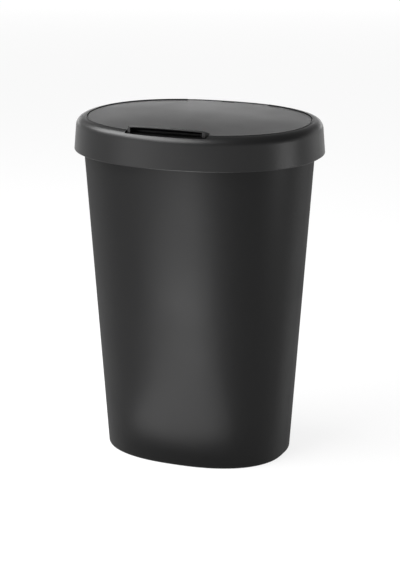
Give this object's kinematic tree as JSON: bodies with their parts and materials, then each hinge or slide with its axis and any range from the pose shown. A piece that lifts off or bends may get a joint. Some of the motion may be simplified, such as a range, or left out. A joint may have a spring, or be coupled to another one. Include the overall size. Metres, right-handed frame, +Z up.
{
  "type": "kitchen bin",
  "caption": "Free-standing oval kitchen bin with a lift-off lid ring and a hinged flap with a front finger grip.",
  "frame": {"origin": "middle of the bin's foot on the surface that it stands on", "axes": "+Z up, +Y towards the hinge at the back, -Y towards the grip at the front, +X to the right seen from the front"},
  "size_m": [0.3999, 0.3232, 0.5564],
  "materials": {
    "bucket_plastic": "satin moulded polypropylene, near black",
    "lid_plastic": "satin moulded polypropylene, near black",
    "pin_steel": "drawn steel wire"
  },
  "bodies": {
    "bucket": {"bin_body": "bucket_plastic"},
    "lid": {"lid_ring": "lid_plastic"},
    "flap": {"lid_flap": "lid_plastic", "hinge_pin": "pin_steel"}
  },
  "joints": [
    {"name": "lid_lift", "type": "slide", "parent": "bucket", "child": "lid", "axis": [0, 0, 1], "range_m": [0, 0.1]},
    {"name": "flap_hinge", "type": "hinge", "parent": "lid", "child": "flap", "pos_m": [0, 0.137, 0.5435], "axis": [-1, 0, 0], "range_deg": [0, 100]}
  ]
}
